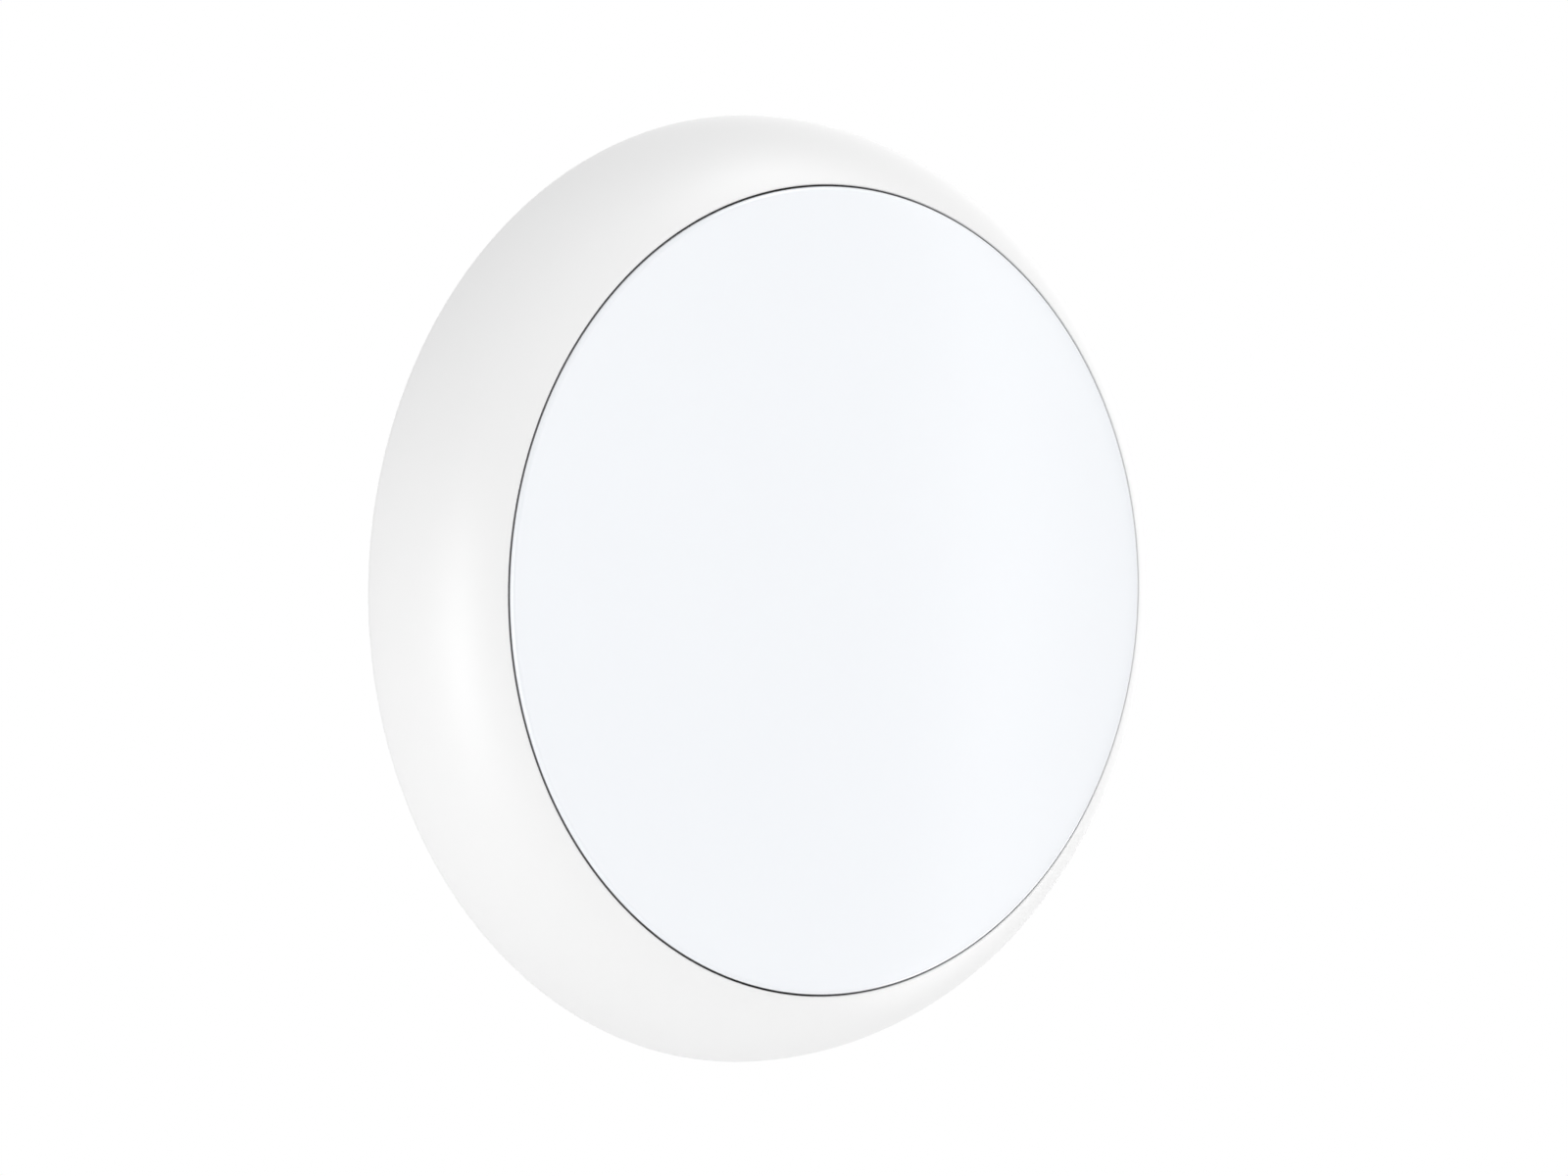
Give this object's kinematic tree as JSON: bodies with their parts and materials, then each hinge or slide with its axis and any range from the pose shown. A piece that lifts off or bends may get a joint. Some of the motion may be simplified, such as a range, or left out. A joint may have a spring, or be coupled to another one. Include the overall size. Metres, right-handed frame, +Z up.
{
  "type": "wall thermostat",
  "caption": "Round white wall thermostat: a domed control ring turns round a blank press-in face, on a head that pulls off a wall base.",
  "frame": {"origin": "centre of the two wall screws, on the wall plane at the base's back face", "axes": "+Z up, +Y into the wall, the face looks along -Y, +X to the right seen from the front"},
  "size_m": [0.084, 0.0235, 0.084],
  "materials": {
    "ring_white": "fine satin-matt moulded plastic, neutral white",
    "face_white": "smooth satin-gloss plastic, cool white",
    "housing_white": "matt moulded plastic",
    "base_white": "matt moulded plastic",
    "block_white": "matt moulded plastic",
    "tab_orange": "satin moulded plastic",
    "acetal": "natural acetal",
    "black_plastic": "matt black moulded plastic",
    "board_green": "solder mask over glass-fibre laminate",
    "contact_gold": "gold-flashed contact",
    "spring_brass": "formed spring brass",
    "screw_steel": "zinc-plated steel",
    "shield_steel": "tin-plated steel can",
    "vial_clear": "clear tube",
    "vial_green": "tinted liquid",
    "battery_foil": "satin foil pouch",
    "lamp_black": "black lamp carrier"
  },
  "bodies": {
    "wall_base": {"wall_plate": "base_white", "base_circuit_board": "board_green", "terminal_block_left": "block_white", "terminal_block_right": "block_white", "terminal_clamps": "spring_brass", "relay_chips": "black_plastic", "base_socket": "black_plastic", "socket_contacts": "contact_gold", "level_vial": "vial_clear", "vial_caps": "block_white", "vial_liquid": "vial_green", "base_cover": "base_white", "base_cover_screws": "screw_steel"},
    "head": {"rear_cover": "housing_white", "ring_carrier": "housing_white", "head_plug": "black_plastic", "plug_pins": "contact_gold", "main_circuit_board": "board_green", "radio_shield": "shield_steel", "main_board_chips": "black_plastic", "buzzer": "black_plastic", "temperature_sensor": "block_white", "charging_port": "shield_steel", "port_tongue": "black_plastic", "battery": "battery_foil", "board_connector": "block_white", "encoder_case": "black_plastic", "middle_frame": "housing_white", "frame_screws": "screw_steel", "display_board": "board_green", "display_screws": "screw_steel", "light_module": "lamp_black", "light_mask": "block_white", "press_switches": "black_plastic"},
    "control_ring": {"control_ring": "ring_white", "ring_gear": "acetal"},
    "encoder_gear": {"encoder_gear": "acetal"},
    "front_cover": {"front_cover": "face_white", "post_clips": "screw_steel"},
    "switch_plungers": {"switch_plungers": "tab_orange"},
    "wire_tab_1": {"wire_tab_1": "tab_orange"},
    "wire_tab_2": {"wire_tab_2": "tab_orange"},
    "wire_tab_3": {"wire_tab_3": "tab_orange"},
    "wire_tab_4": {"wire_tab_4": "tab_orange"},
    "wire_tab_5": {"wire_tab_5": "tab_orange"},
    "wire_tab_6": {"wire_tab_6": "tab_orange"}
  },
  "joints": [
    {"name": "head_pull", "type": "slide", "parent": "wall_base", "child": "head", "axis": [0, -1, 0], "range_m": [0, 0.03]},
    {"name": "ring_turn", "type": "hinge", "parent": "head", "child": "control_ring", "pos_m": [0, 0, 0], "axis": [0, -1, 0], "continuous": true},
    {"name": "encoder_turn", "type": "hinge", "parent": "head", "child": "encoder_gear", "pos_m": [0, 0, -0.027], "axis": [0, -1, 0], "continuous": true},
    {"name": "cover_press", "type": "slide", "parent": "head", "child": "front_cover", "axis": [0, 1, 0], "range_m": [0, 0.0004], "stiffness_N_per_m": 4000, "springref_m": -0.0002},
    {"name": "plunger_press", "type": "slide", "parent": "head", "child": "switch_plungers", "axis": [0, 1, 0], "range_m": [0, 0.0004]},
    {"name": "wire_tab_1_press", "type": "slide", "parent": "wall_base", "child": "wire_tab_1", "axis": [0, 1, 0], "range_m": [0, 0.0009], "stiffness_N_per_m": 2500, "springref_m": -0.0002},
    {"name": "wire_tab_2_press", "type": "slide", "parent": "wall_base", "child": "wire_tab_2", "axis": [0, 1, 0], "range_m": [0, 0.0009], "stiffness_N_per_m": 2500, "springref_m": -0.0002},
    {"name": "wire_tab_3_press", "type": "slide", "parent": "wall_base", "child": "wire_tab_3", "axis": [0, 1, 0], "range_m": [0, 0.0009], "stiffness_N_per_m": 2500, "springref_m": -0.0002},
    {"name": "wire_tab_4_press", "type": "slide", "parent": "wall_base", "child": "wire_tab_4", "axis": [0, 1, 0], "range_m": [0, 0.0009], "stiffness_N_per_m": 2500, "springref_m": -0.0002},
    {"name": "wire_tab_5_press", "type": "slide", "parent": "wall_base", "child": "wire_tab_5", "axis": [0, 1, 0], "range_m": [0, 0.0009], "stiffness_N_per_m": 2500, "springref_m": -0.0002},
    {"name": "wire_tab_6_press", "type": "slide", "parent": "wall_base", "child": "wire_tab_6", "axis": [0, 1, 0], "range_m": [0, 0.0009], "stiffness_N_per_m": 2500, "springref_m": -0.0002}
  ],
  "couplings": [
    {"joint": "encoder_turn", "follows": "ring_turn", "ratio": 4.6},
    {"joint": "plunger_press", "follows": "cover_press", "ratio": 1}
  ]
}
